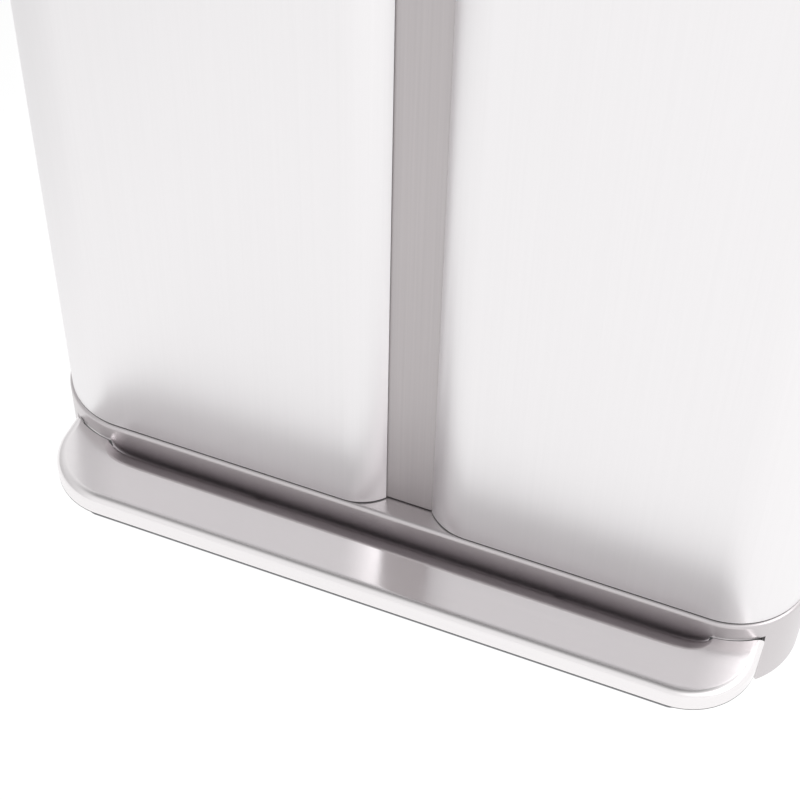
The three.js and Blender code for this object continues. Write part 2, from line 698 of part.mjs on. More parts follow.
function addRodGuides() {
  const wall = BACK_Y - SHEET - GAP - 2.5 - GAP;
  for (const [name, z] of [['lower', 150], ['upper', 590]]) {
    const block = box([-9, ROD_Y - 9, z - 5], [9, wall, z + 5]);
    const bore = upright(ROD_RADIUS + GAP, z - 6, z + 6, 20, 0, ROD_Y);
    addPiece(`rod_guide_${name}`, without(block, bore), blackPlastic);
  }
}

function addDamper() {
  const low = 300;
  const high = 420;
  const bore = DAMPER_RADIUS - 1.8;
  const cylinder = [
    [0, low], [DAMPER_RADIUS, low], [DAMPER_RADIUS, high], [PISTON_ROD_RADIUS + 0.6, high],
    [PISTON_ROD_RADIUS + 0.6, high - 3], [bore, high - 3], [bore, low + 3], [0, low + 3],
  ];
  addPiece('damper_cylinder', turned(cylinder, 24, 0, DAMPER_Y), blackPlastic);
  const pistonLow = low + 30;
  const rodTop = 449;
  const piston = [
    [0, pistonLow], [bore - 0.4, pistonLow], [bore - 0.4, pistonLow + 6],
    [PISTON_ROD_RADIUS, pistonLow + 6], [PISTON_ROD_RADIUS, rodTop], [0, rodTop],
  ];
  addPiece('damper_piston', turned(piston, 20, 0, DAMPER_Y), plainSteel);
  const clamp = box([-8, ROD_Y - 8, 438], [8, DAMPER_Y + 8, 446]);
  const rodBore = upright(ROD_RADIUS + GAP, 430, 460, 20, 0, ROD_Y);
  const pistonBore = upright(PISTON_ROD_RADIUS + GAP, 430, 460, 20, 0, DAMPER_Y);
  addPiece('lift_clamp', without(clamp, rodBore, pistonBore), plainSteel);
  const wall = BACK_Y - SHEET - GAP - 2.5 - GAP;
  const saddle = box([-10, DAMPER_Y, 350], [10, wall, 370]);
  const cylinderRoom = upright(DAMPER_RADIUS + GAP, 340, 380, 24, 0, DAMPER_Y);
  addPiece('damper_bracket', without(saddle, cylinderRoom), blackPlastic);
}

addBase();
addFeet();
addShells();
addCentreStrip();
addBackPanel();
addDivider();
addCollar();
addLidSkin();
addLidFrame();
addLidPanel();
addLidLever();
addHinges();
addHingeCover();
addBuckets();
addPedalPlate();
addPedalTray();
addPedalArms();
addCrossTube();
addPedalLever();
addPedalPivot();
addLiftRod();
addRodGuides();
addDamper();

export default bin;
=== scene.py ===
import json
import math

import bmesh
import bpy
from mathutils import Matrix, Vector


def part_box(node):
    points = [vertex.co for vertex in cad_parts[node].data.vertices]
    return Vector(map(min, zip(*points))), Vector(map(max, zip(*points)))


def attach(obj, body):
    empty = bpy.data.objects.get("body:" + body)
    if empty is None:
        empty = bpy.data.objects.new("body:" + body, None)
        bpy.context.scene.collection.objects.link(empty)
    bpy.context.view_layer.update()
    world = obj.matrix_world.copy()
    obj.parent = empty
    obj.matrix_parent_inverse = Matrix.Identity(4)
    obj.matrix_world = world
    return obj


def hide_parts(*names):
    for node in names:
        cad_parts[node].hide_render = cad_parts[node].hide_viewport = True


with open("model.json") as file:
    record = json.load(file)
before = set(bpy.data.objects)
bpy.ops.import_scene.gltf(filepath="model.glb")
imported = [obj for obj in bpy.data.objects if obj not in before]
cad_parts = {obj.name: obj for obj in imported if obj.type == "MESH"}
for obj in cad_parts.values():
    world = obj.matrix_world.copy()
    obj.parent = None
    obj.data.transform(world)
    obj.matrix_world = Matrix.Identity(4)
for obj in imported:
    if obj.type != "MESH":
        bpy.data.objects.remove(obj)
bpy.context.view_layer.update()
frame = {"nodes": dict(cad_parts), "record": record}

# The fine surface of a two-compartment pedal bin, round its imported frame.
# Shapes are worked out in millimetres and stored in metres, in the frame's own axes.
MM = 0.001


def extent(node):
    """Lowest and highest corner of a CAD node, in millimetres."""
    low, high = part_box(node)
    return low / MM, high / MM


# ---------------------------------------------------------------- sizes
SHELL_LOW, SHELL_HIGH = extent("right_shell")
HALF_WIDTH = SHELL_HIGH.x
FRONT_Y = SHELL_LOW.y
BACK_Y = SHELL_HIGH.y
FRONT_RADIUS = 58.3
BACK_RADIUS = 36
SHEET = 0.8
HEM = 0.3  # rounding of a sheet's cut edge

BULGE_RADIUS = 38.8  # inner edge of each front panel, beside the strip
BULGE_X = 47.2
BULGE_SWEEP = 49
FLANGE_X = 225  # where each shell's flange ends on the back

BASE_TOP = SHELL_LOW.z - 1.2
BASE_LOW, BASE_HIGH = extent("base")
BASE_OFFSET = BASE_HIGH.x - HALF_WIDTH
BASE_WALL = 3.5
BASE_EDGE = 3.5
DECK = 3
FRONT_WALL_BOTTOM = 34
FRONT_WALL_HALF = 234
CORNER_WALL_BOTTOM = 61.5
SLOT_EDGE_Y = FRONT_Y + 15.2
WALL_STEP = 1.5  # half the length over which the wall's lower edge changes height
SLOT_STEP = 0.4

PEDAL_LOW, PEDAL_HIGH = extent("pedal_plate")
PEDAL_HALF = PEDAL_HIGH.x
PEDAL_FRONT = PEDAL_LOW.y
PEDAL_CORNER = 52
PEDAL_TOP = PEDAL_HIGH.z
PEDAL_TILT = -0.083
PEDAL_ROUND = 7.3
SHADE_LINE_BOTTOM = 49  # a thin black strip under the lip, painted shade for its shadow line, then the lip itself
SHADE_LINE_HEIGHT = 0.9
LIP_BOTTOM = SHADE_LINE_BOTTOM + SHADE_LINE_HEIGHT
LIP_TILT = -0.04
PEDAL_SHEET = 1.3
PEDAL_GAP = 1.2
ROLL_END_X = 237.5  # the plate's back edge rolls down between its corners
ROLL_DEPTH = 22
ROLL_DROP = 18
ROLL_DROP_LENGTH = 7
ROLL_FLARE = 13.2
ROLL_FLARE_LENGTH = 7.5

LID_LOW, LID_HIGH = extent("lid_skin")
LID_EDGE = 5
SKIRT_STEP = 2
COVER_LOW, COVER_HIGH = extent("hinge_cover")
COVER_WALL = 2.5

# Black sheets in the gap under the panels: painted shade for the shadow there.
SHADE_GAP_INSET = 0.25
SHADE_GAP_CLEARANCE = 0.03
SHADE_GAP_THICKNESS = 1.5
# Black sheets inside the base's front corners: painted shade in the gap behind the pedal's corners.
SHADE_SHEET_INNER_X = 226
SHADE_SHEET_END_ANGLE = 326
SHADE_SHEET_LOW = 32
SHADE_SHEET_THICKNESS = 1.2
FOOT_POST_RADIUS = 14
BACK_FIELD_EDGE = 22
ARC_STEP = 2.5  # degrees between stations on a corner
EDGE_STEPS = 8  # steps round a rounded edge


# ---------------------------------------------------------------- stations and sweeps
def arc(x, y, radius, start, end, step=ARC_STEP):
    """Stations (x, y, outward x, outward y) along an arc."""
    count = max(2, math.ceil(abs(end - start) / step))
    stations = []
    for i in range(count + 1):
        angle = math.radians(start + (end - start) * i / count)
        c, s = math.cos(angle), math.sin(angle)
        stations.append((x + radius * c, y + radius * s, c, s))
    return stations


def rounded_rectangle(left, front, right, back, front_radius, back_radius):
    return [
        *arc(left + front_radius, front + front_radius, front_radius, 180, 270),
        *arc(right - front_radius, front + front_radius, front_radius, 270, 360),
        *arc(right - back_radius, back - back_radius, back_radius, 0, 90),
        *arc(left + back_radius, back - back_radius, back_radius, 90, 180),
    ]


def bin_plan():
    return rounded_rectangle(
        -HALF_WIDTH, FRONT_Y, HALF_WIDTH, BACK_Y, FRONT_RADIUS, BACK_RADIUS,
    )


def ring(stations, offset, z):
    """The stations moved outwards by the offset, at height z or at z(x, y) of each station."""
    level = z if callable(z) else lambda x, y: z
    return [(x + offset * nx, y + offset * ny, level(x, y)) for x, y, nx, ny in stations]


def loft(loops, closed=True, caps=(True, True)):
    """Points and faces of the skin through loops of one length."""
    count = len(loops[0])
    points = [point for loop in loops for point in loop]
    faces = []
    for k in range(len(loops) - 1):
        for i in range(count if closed else count - 1):
            j = (i + 1) % count
            low, high = k * count, (k + 1) * count
            faces.append((low + i, low + j, high + j, high + i))
    if caps[0]:
        faces.append(tuple(reversed(range(count))))
    if caps[1]:
        faces.append(tuple(range(len(points) - count, len(points))))
    return points, faces


def quarter(radius, steps, start=0, end=90):
    """(inset, drop) pairs round an edge, from its side (0 degrees) to its top (90)."""
    pairs = []
    for i in range(steps + 1):
        angle = math.radians(start + (end - start) * i / steps)
        pairs.append((radius * (1 - math.cos(angle)), radius * (1 - math.sin(angle))))
    return pairs


def smooth_step(value, low, high):
    t = min(max((value - low) / (high - low), 0), 1)
    return t * t * (3 - 2 * t)


# ---------------------------------------------------------------- pieces
SHARP_ANGLE = 35
BEVEL_ANGLE = 40
MERGE_DISTANCE = 2e-6  # metres


def piece(name, body, slot, points, faces, replaces=(), bevel=0.0, thickness=0.0, material=None):
    """Makes one named piece of the bin from points in millimetres.

    A thickness turns an open skin into a sheet that grows inwards from it. The material is
    the slot's own unless another one is named.
    """
    mesh = bpy.data.meshes.new(name)
    mesh.from_pydata([Vector(point) * MM for point in points], [], faces)
    work = bmesh.new()
    work.from_mesh(mesh)
    bmesh.ops.remove_doubles(work, verts=work.verts, dist=MERGE_DISTANCE)
    work.normal_update()
    if thickness:
        middle = sum((face.calc_center_median() for face in work.faces), Vector()) / len(work.faces)
        facing = 0
        for face in work.faces:
            away = (face.calc_center_median() - middle).normalized()
            facing += face.calc_area() * (face.normal.z + face.normal.dot(away))
        if facing < 0:
            bmesh.ops.reverse_faces(work, faces=work.faces)
    else:
        bmesh.ops.recalc_face_normals(work, faces=work.faces)
    work.to_mesh(mesh)
    work.free()
    obj = bpy.data.objects.new(name, mesh)
    bpy.context.scene.collection.objects.link(obj)
    if thickness:
        solid = obj.modifiers.new("sheet", "SOLIDIFY")
        solid.thickness = thickness * MM
        solid.offset = -1
        solid.use_even_offset = True
    finish_surface(obj, bevel)
    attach(obj, body)
    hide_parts(*replaces)
    obj.data.materials.append(MATERIALS[material or slot])


def finish_surface(obj, bevel):
    """Smooth shading between sharp edges, small rounded edges and even normals on flats."""
    obj.data.shade_smooth()
    obj.data.set_sharp_from_angle(angle=math.radians(SHARP_ANGLE))
    if bevel:
        edge = obj.modifiers.new("edges", "BEVEL")
        edge.width = bevel * MM
        edge.segments = 2
        edge.limit_method = "ANGLE"
        edge.angle_limit = math.radians(BEVEL_ANGLE)
        edge.use_clamp_overlap = True
    even = obj.modifiers.new("normals", "WEIGHTED_NORMAL")
    even.keep_sharp = True


# ---------------------------------------------------------------- materials
MATERIALS = {}
GRAIN_ALONG = 25  # noise scale along and across a brushed grain
GRAIN_ACROSS = 3500
# Painted shade: the base's front wall behind the pedal is darkened towards its bottom.
PAINTED_SHADE_COLOR = (0.17, 0.14, 0.16, 1)
PAINTED_SHADE_AMOUNT = 0.6
PAINTED_SHADE_LOW = 0.056  # metres; full painted shade at this height, fading to none at the top
PAINTED_SHADE_TOP_MARGIN = 0.004
PAINTED_SHADE_DEPTH = 0.0015  # only the face of the front wall takes it


def set_socket(tree, socket, value):
    """Links a socket to another one, or gives it a fixed value."""
    if isinstance(value, bpy.types.NodeSocket):
        tree.links.new(value, socket)
    else:
        socket.default_value = value


def add_node(tree, kind, inputs=None, **settings):
    node = tree.nodes.new(kind)
    for key, value in settings.items():
        setattr(node, key, value)
    for key, value in (inputs or {}).items():
        set_socket(tree, node.inputs[key], value)
    return node


class Nodes:
    """A material being wired up."""

    def __init__(self, name):
        self.material = bpy.data.materials.new(name)
        self.material.use_nodes = True
        self.tree = self.material.node_tree
        self.shader = self.tree.nodes["Principled BSDF"]
        MATERIALS[name] = self.material

    def add(self, kind, inputs=None, **settings):
        return add_node(self.tree, kind, inputs, **settings)

    def noise(self, scale, detail=3.0, roughness=0.55, stretch=(1, 1, 1)):
        place = self.add("ShaderNodeTexCoord").outputs["Object"]
        mapped = self.add("ShaderNodeMapping", {"Vector": place, "Scale": stretch})
        inputs = {
            "Vector": mapped.outputs[0],
            "Scale": scale,
            "Detail": detail,
            "Roughness": roughness,
        }
        return self.add("ShaderNodeTexNoise", inputs).outputs["Fac"]

    def spread(self, value, low, high, from_low=0.3, from_high=0.7):
        inputs = {
            "Value": value,
            "From Min": from_low,
            "From Max": from_high,
            "To Min": low,
            "To Max": high,
        }
        return self.add("ShaderNodeMapRange", inputs).outputs["Result"]

    def combine(self, a, b, operation="ADD"):
        return self.add("ShaderNodeMath", {0: a, 1: b}, operation=operation).outputs[0]

    def blend(self, factor, first, second):
        inputs = {0: factor, 6: first, 7: second}
        return self.add("ShaderNodeMix", inputs, data_type="RGBA").outputs[2]

    def edge_wear(self, radius=0.0012, amount=1.0):
        """0 on flats, rising to the amount along edges, broken up by noise."""
        rounded = self.add("ShaderNodeBevel", {"Radius": radius}, samples=4).outputs[0]
        normal = self.add("ShaderNodeNewGeometry").outputs["Normal"]
        close = self.add("ShaderNodeVectorMath", {0: rounded, 1: normal}, operation="DOT_PRODUCT")
        edge = self.spread(close.outputs["Value"], amount, 0.0, 0.86, 0.995)
        return self.combine(edge, self.spread(self.noise(90, 4), 0.25, 1.0), "MULTIPLY")

    def set(self, **values):
        for key, value in values.items():
            set_socket(self.tree, self.shader.inputs[key.replace("_", " ")], value)

    def bump(self, height, strength, distance):
        inputs = {"Height": height, "Strength": strength, "Distance": distance}
        self.set(Normal=self.add("ShaderNodeBump", inputs).outputs[0])


def tinted(color, factor):
    return (*[min(channel * factor, 1.0) for channel in color], 1.0)


def brushed_metal(name, color, roughness, grain, anisotropy, variation, bump):
    """Brushed metal whose grain runs along one axis."""
    nodes = Nodes(name)
    stretch = [GRAIN_ACROSS] * 3
    stretch["XYZ".index(grain)] = GRAIN_ALONG
    fine = nodes.noise(1.0, 3, 0.6, stretch)
    coarse = nodes.noise(1.0, 2, 0.5, [value / 6 for value in stretch])
    cloud = nodes.noise(7, 3, 0.5)
    wear = nodes.edge_wear(0.001, 0.5)
    streak = nodes.combine(fine, coarse, "MULTIPLY")
    tone = nodes.spread(streak, 0.0, 1.0, 0.1, 0.4)
    base = nodes.blend(tone, tinted(color, 1 - variation), tinted(color, 1 + variation / 2))
    nodes.set(
        Metallic=1.0,
        Base_Color=nodes.blend(wear, base, tinted(color, 1.08)),
        Anisotropic=anisotropy,
    )
    level = nodes.combine(
        nodes.spread(fine, roughness - 0.03, roughness + 0.03),
        nodes.spread(cloud, -0.015, 0.02),
    )
    nodes.set(Roughness=nodes.combine(level, nodes.combine(wear, -0.06, "MULTIPLY")))
    nodes.bump(streak, bump, 0.00002)
    direction = nodes.add("ShaderNodeTangent", direction_type="RADIAL", axis=grain)
    nodes.set(Tangent=direction.outputs[0])


def satin_paint(name, color, roughness, metallic):
    """Moulding with a fine metallic finish, with painted shade low on its front wall behind the
    pedal.
    """
    nodes = Nodes(name)
    flake = nodes.noise(2600, 2, 0.7)
    cloud = nodes.noise(9, 3, 0.5)
    wear = nodes.edge_wear(0.0015, 0.6)
    clean = nodes.blend(nodes.spread(flake, 0, 1), tinted(color, 0.94), tinted(color, 1.05))
    place = nodes.add("ShaderNodeTexCoord").outputs["Object"]
    parts = nodes.add("ShaderNodeSeparateXYZ", {0: place}).outputs
    # painted shade: the front wall darkens towards its bottom, behind the pedal
    wall = FRONT_Y * MM
    front = nodes.spread(parts["Y"], 1.0, 0.0, wall - PAINTED_SHADE_DEPTH, wall)
    low = nodes.spread(parts["Z"], 1.0, 0.0, PAINTED_SHADE_LOW, BASE_TOP * MM - PAINTED_SHADE_TOP_MARGIN)
    painted_shade = nodes.combine(nodes.combine(front, low, "MULTIPLY"), PAINTED_SHADE_AMOUNT, "MULTIPLY")
    base = nodes.blend(painted_shade, clean, PAINTED_SHADE_COLOR)
    nodes.set(
        Metallic=metallic,
        Base_Color=nodes.blend(wear, base, tinted(color, 1.2)),
        Roughness=nodes.combine(
            nodes.spread(flake, roughness - 0.03, roughness + 0.03),
            nodes.spread(cloud, -0.02, 0.03),
        ),
        Coat_Weight=0.1,
        Coat_Roughness=0.2,
    )
    nodes.bump(flake, 0.04, 0.00003)


def moulded_plastic(name, color, roughness, scale, depth, wear_tint=2.2):
    """Plastic with a fine spark-eroded texture, scuffed a little along its edges."""
    nodes = Nodes(name)
    texture = nodes.noise(scale, 3, 0.65)
    cloud = nodes.noise(12, 4, 0.55)
    wear = nodes.edge_wear(0.001, 0.7)
    base = nodes.blend(nodes.spread(cloud, 0, 1), tinted(color, 0.97), tinted(color, 1.04))
    nodes.set(
        Base_Color=nodes.blend(wear, base, tinted(color, wear_tint)),
        Roughness=nodes.combine(
            nodes.spread(texture, roughness - 0.06, roughness + 0.08),
            nodes.combine(wear, -0.1, "MULTIPLY"),
        ),
    )
    nodes.bump(texture, 0.35, depth)


brushed_metal("brushed_steel", (0.85, 0.835, 0.843), 0.37, "Z", 0.25, 0.012, 0.02)
brushed_metal("lid_steel", (0.85, 0.835, 0.843), 0.3, "X", 0.5, 0.012, 0.02)
brushed_metal("pedal_steel", (0.87, 0.845, 0.85), 0.2, "X", 0.6, 0.02, 0.03)
brushed_metal("grey_strip", (0.54, 0.51, 0.515), 0.56, "Z", 0.2, 0.05, 0.03)
brushed_metal("plain_steel", (0.55, 0.555, 0.56), 0.32, "X", 0.2, 0.12, 0.08)
satin_paint("base_grey", (0.6, 0.57, 0.578), 0.3, 0.9)
moulded_plastic("black_plastic", (0.028, 0.028, 0.03), 0.5, 1500, 0.00006)
moulded_plastic("grey_plastic", (0.2, 0.2, 0.21), 0.52, 1300, 0.00006, 1.5)
moulded_plastic("bucket_plastic", (0.27, 0.275, 0.285), 0.42, 900, 0.00004, 1.3)
moulded_plastic("rubber", (0.022, 0.022, 0.022), 0.8, 1100, 0.00008, 1.6)


# ---------------------------------------------------------------- steel body
SIDES = (("right", 1), ("left", -1))
STRIP_TURN = 0.8


def right_panel_line():
    """Stations along the right shell's outer face, from the strip to its back flange."""
    front = FRONT_Y + FRONT_RADIUS
    back = BACK_Y - BACK_RADIUS
    return [
        *arc(BULGE_X, FRONT_Y + BULGE_RADIUS, BULGE_RADIUS, 270 - BULGE_SWEEP, 270),
        *arc(HALF_WIDTH - FRONT_RADIUS, front, FRONT_RADIUS, 270, 360),
        *arc(HALF_WIDTH - BACK_RADIUS, back, BACK_RADIUS, 0, 90),
        (FLANGE_X, BACK_Y, 0, 1),
    ]


def sheet_section(low, high, thickness):
    """(offset, z) pairs round an upright sheet with softened edges."""
    turn = 0.3 * HEM
    return [
        (0, low + HEM),
        (0, high - HEM),
        (-turn, high - turn),
        (-HEM, high),
        (HEM - thickness, high),
        (turn - thickness, high - turn),
        (-thickness, high - HEM),
        (-thickness, low + HEM),
        (turn - thickness, low + turn),
        (HEM - thickness, low),
        (-HEM, low),
        (-turn, low + turn),
    ]


def upright_sheet(line, section, side, inset=0):
    """The section carried along a line of stations, mirrored in X where side is -1."""
    return [
        [(side * (x + (d - inset) * nx), y + (d - inset) * ny, z) for d, z in section]
        for x, y, nx, ny in line
    ]


def add_shells():
    section = sheet_section(SHELL_LOW.z, SHELL_HIGH.z, SHEET)
    for name, side in SIDES:
        points, faces = loft(upright_sheet(right_panel_line(), section, side))
        piece(
            f"{name}_front_and_side_panel", "bin", "brushed_steel", points, faces,
            [f"{name}_shell"],
        )


def add_centre_strip():
    """A shallow pressed channel: a flat face whose long edges turn back behind the panels."""
    low, high = extent("centre_strip")
    half = high.x
    depth = high.y - low.y
    across = [(-half, low.y + depth), (-half, low.y + STRIP_TURN)]
    across += [(-half + i, low.y + d) for i, d in quarter(STRIP_TURN, 3)][1:]
    across += [(x, y) for x, y in reversed([(-x, y) for x, y in across])]
    loops = [[(x, y, z) for x, y in across] for z in (low.z, low.z + HEM, high.z - HEM, high.z)]
    for k in (0, -1):
        loops[k] = [(x, y + (HEM if y < low.y + depth else 0), z) for x, y, z in loops[k]]
    points, faces = loft(loops)
    piece("centre_trim_strip", "bin", "grey_strip", points, faces, ["centre_strip"])


def add_gap_shade_sheets():
    """Thin black sheets in the gap between the panels and the base: painted shade for the shadow in
    that gap.
    """
    levels = (BASE_TOP + SHADE_GAP_CLEARANCE, SHELL_LOW.z - SHADE_GAP_CLEARANCE)
    for name, side in SIDES:
        rows = upright_sheet(right_panel_line(), [(0, z) for z in levels], side, SHADE_GAP_INSET)
        points, faces = loft(rows, closed=False, caps=(False, False))
        piece(
            f"{name}_panel_gap_shade", "bin", "black_plastic", points, faces,
            thickness=SHADE_GAP_THICKNESS,
        )


# ---------------------------------------------------------------- base
LONGEST_ARC_STEP = 20  # stations further apart than this in Y are on a straight side


def wall_bottom(x, y):
    """Lower edge of the base's wall: raised over the pedal at the front, to the floor elsewhere."""
    middle = 1 - smooth_step(abs(x), FRONT_WALL_HALF - WALL_STEP, FRONT_WALL_HALF + WALL_STEP)
    side = smooth_step(y, SLOT_EDGE_Y - SLOT_STEP, SLOT_EDGE_Y + SLOT_STEP)
    front = CORNER_WALL_BOTTOM + (FRONT_WALL_BOTTOM - CORNER_WALL_BOTTOM) * middle
    return front + (BASE_LOW.z - front) * side


def base_stations():
    """The bin's plan, with close stations where the wall's lower edge steps."""
    wall_ends = [side * FRONT_WALL_HALF + 0.5 * i for side in (-1, 1) for i in range(-3, 4)]
    slot_ends = [SLOT_EDGE_Y + SLOT_STEP * i for i in (-1, 0, 1)]
    plan = bin_plan()
    stations = []
    for first, second in zip(plan, plan[1:] + plan[:1]):
        stations.append(first)
        marks = []
        if first[1] < 0 and second[1] < 0:
            marks += [(mark, first[0], second[0]) for mark in wall_ends]
        if abs(first[1] - second[1]) < LONGEST_ARC_STEP:
            marks += [(mark, first[1], second[1]) for mark in slot_ends]
        shares = [
            (mark - a) / (b - a) for mark, a, b in marks if (mark - a) * (mark - b) < -1e-6
        ]
        for share in sorted(shares):
            stations.append(tuple(a + (b - a) * share for a, b in zip(first, second)))
    return stations


def add_base():
    stations = base_stations()
    outer = BASE_OFFSET
    inner = BASE_OFFSET - BASE_WALL
    soft = 0.6
    loops = [
        ring(stations, inner, BASE_TOP - DECK),
        ring(stations, inner, lambda x, y: wall_bottom(x, y) + soft),
        ring(stations, inner + soft, wall_bottom),
        ring(stations, outer - soft, wall_bottom),
        ring(stations, outer - 0.2 * soft, lambda x, y: wall_bottom(x, y) + 0.2 * soft),
        ring(stations, outer, lambda x, y: wall_bottom(x, y) + soft),
    ]
    for inset, drop in quarter(BASE_EDGE, EDGE_STEPS):
        loops.append(ring(stations, outer - inset, BASE_TOP - drop))
    points, faces = loft(loops)
    piece("base_moulding", "bin", "base_grey", points, faces, ["base"])


def add_corner_shade_sheets():
    """Black sheets inside the base's front corners, behind the pedal's slots: painted shade where
    the gap beside the plate's corners would show light.
    """
    front = FRONT_Y + FRONT_RADIUS
    line = [
        (SHADE_SHEET_INNER_X, FRONT_Y, 0, -1),
        *arc(HALF_WIDTH - FRONT_RADIUS, front, FRONT_RADIUS, 270, SHADE_SHEET_END_ANGLE),
    ]
    section = sheet_section(SHADE_SHEET_LOW, BASE_TOP - DECK - HEM, SHADE_SHEET_THICKNESS)
    inset = BASE_WALL - BASE_OFFSET + HEM
    for name, side in SIDES:
        points, faces = loft(upright_sheet(line, section, side, inset))
        piece(f"{name}_corner_shade_sheet", "bin", "black_plastic", points, faces)


def add_foot_posts():
    """The posts inside the base that the rubber feet are pressed into."""
    step = 7.5
    for name in ("front_left", "front_right", "back_left", "back_right"):
        low, high = extent(f"foot_{name}")
        middle = (low + high) / 2
        line = arc(middle.x, middle.y, FOOT_POST_RADIUS, 0, 360 - step, step)
        loops = [
            ring(line, -0.6, high.z + 0.3),
            ring(line, 0, high.z + 0.9),
            ring(line, 0, BASE_TOP - DECK),
        ]
        points, faces = loft(loops)
        piece(f"{name}_foot_post", "bin", "base_grey", points, faces)


def add_back_panel():
    """The back cover: a flat sheet with a raised field inside rounded corners."""
    low, high = extent("back_panel")
    half = high.x
    edge = BACK_FIELD_EDGE
    levels = (
        (0, low.y, 1),
        (0, high.y - 1.3, 1),
        (0.3, high.y - 1, 1),
        (edge, high.y - 1, 8),
        (edge + 1, high.y - 0.8, 8),
        (edge + 2, high.y - 0.2, 8),
        (edge + 3, high.y, 8),
    )
    loops = []
    for inset, y, corner in levels:
        plan = rounded_rectangle(
            -half + inset, low.z + inset, half - inset, high.z - inset, corner, corner,
        )
        loops.append([(x, y, z) for x, z, _, _ in plan])
    points, faces = loft(loops)
    piece("back_cover_panel", "bin", "grey_plastic", points, faces, ["back_panel"])


# ---------------------------------------------------------------- pedal
SIDE_STEPS = 5  # columns round half of the lip: its side, its corner, its front
CORNER_STEPS = 40
FRONT_STEPS = 36


def plate_height(y):
    return PEDAL_TOP + PEDAL_TILT * (y - PEDAL_FRONT - PEDAL_ROUND)


def base_arc_y(x):
    """Where the plate's back edge meets the base's rounded corner."""
    radius = FRONT_RADIUS + BASE_OFFSET + PEDAL_GAP
    reach = max(abs(x) - HALF_WIDTH + FRONT_RADIUS, 0)
    return FRONT_Y + FRONT_RADIUS - math.sqrt(radius * radius - reach * reach)


def crest_y(x):
    """Where the plate starts to roll down towards the base."""
    inside = ROLL_END_X - x
    if inside <= 0:
        return base_arc_y(x)
    return FRONT_Y - ROLL_DEPTH + ROLL_FLARE * math.exp(-inside / ROLL_FLARE_LENGTH)


def roll_profile():
    """(back, down) fractions of the roll: a soft bend, a straight slope and a bend to upright."""
    bend = [(0.04, 0.004), (0.1, 0.025), (0.17, 0.06)]
    slope = [(0.25 + 0.13 * i, 0.11 + 0.08 * i) for i in range(5)]
    drop = [(0.86, 0.52), (0.93, 0.62), (0.975, 0.74), (0.995, 0.86), (1.0, 1.0)]
    return bend + slope + drop


def lip_column(point_at):
    """Points up the lip and over its rounded top; point_at(inset) gives their place in plan."""
    x, y = point_at(0)
    bottom = LIP_BOTTOM + LIP_TILT * (y - PEDAL_FRONT)
    shoulder = plate_height(y) - PEDAL_ROUND
    column = [(x, y, bottom + (shoulder - bottom) * share) for share in (0, 0.05, 0.35, 0.7)]
    for inset, drop in quarter(PEDAL_ROUND, 12):
        px, py = point_at(inset)
        column.append((px, py, plate_height(py) - drop))
    return column


def half_lip_columns():
    """Columns of the pedal's right half, from its back end round the corner to the middle."""
    centre_x = PEDAL_HALF - PEDAL_CORNER
    centre_y = PEDAL_FRONT + PEDAL_CORNER
    columns = []

    def on_side(share):
        def point_at(inset):
            x = PEDAL_HALF - inset
            end = base_arc_y(x)
            return x, end + (centre_y - end) * share
        return point_at

    def on_corner(angle):
        def point_at(inset):
            reach = PEDAL_CORNER - inset
            return centre_x + reach * math.cos(angle), centre_y - reach * math.sin(angle)
        return point_at

    for i in range(SIDE_STEPS):
        columns.append(lip_column(on_side(i / SIDE_STEPS)))
    for i in range(CORNER_STEPS):
        columns.append(lip_column(on_corner(math.pi / 2 * i / CORNER_STEPS)))
    for i in range(FRONT_STEPS + 1):
        x = centre_x * (1 - i / FRONT_STEPS) ** 1.3
        columns.append(lip_column(lambda inset, x=x: (x, PEDAL_FRONT + inset)))
    return columns


def add_lip_shade_line(columns):
    """A thin black strip along the lip's lower edge: painted shade for the shadow line there."""
    lines = []
    right = [column[0] for column in columns]
    left = [(-x, y, z) for x, y, z in reversed(right[:-1])]
    for x, y, z in right + left:
        lines.append([(x, y, z - SHADE_LINE_HEIGHT), (x, y, z - 0.05)])
    points, faces = loft(lines, closed=False, caps=(False, False))
    piece(
        "pedal_lip_shade_line", "pedal", "black_plastic", points, faces,
        bevel=0.1, thickness=PEDAL_SHEET,
    )


def add_plate_and_roll(columns):
    """Carries each column over the flat plate to the back edge and down its roll."""
    turn = PEDAL_HALF - PEDAL_CORNER
    start_x = columns[0][-1][0]
    lengths = [0]
    for first, second in zip(columns, columns[1:]):
        a, b = first[-1], second[-1]
        lengths.append(lengths[-1] + math.hypot(b[0] - a[0], b[1] - a[1]))
    corner_end = next(k for k, column in enumerate(columns) if column[-1][0] <= turn + 0.01)
    for k, column in enumerate(columns):
        x, y, _ = column[-1]
        share = lengths[k] / lengths[corner_end]
        back_x = start_x + (turn - start_x) * share if k < corner_end else x
        back_y = crest_y(back_x)
        for t in (0.03, 0.2, 0.5, 0.8, 0.97, 1.0):
            py = y + (back_y - y) * t
            column.append((x + (back_x - x) * t, py, plate_height(py)))
        inside = max(ROLL_END_X - back_x, 0)
        drop = ROLL_DROP * (1 - math.exp(-inside / ROLL_DROP_LENGTH))
        end_y = FRONT_Y - BASE_OFFSET - PEDAL_GAP if inside else back_y
        for back, down in roll_profile():
            py = back_y + (end_y - back_y) * back
            column.append((back_x, py, plate_height(py) - drop * down))


def add_pedal_plate():
    right = half_lip_columns()
    add_lip_shade_line(right)
    add_plate_and_roll(right)
    left = [[(-x, y, z) for x, y, z in column] for column in reversed(right[:-1])]
    points, faces = loft(right + left, closed=False, caps=(False, False))
    piece(
        "pedal_tread_plate", "pedal", "pedal_steel", points, faces, ["pedal_plate"],
        bevel=0.5, thickness=PEDAL_SHEET,
    )


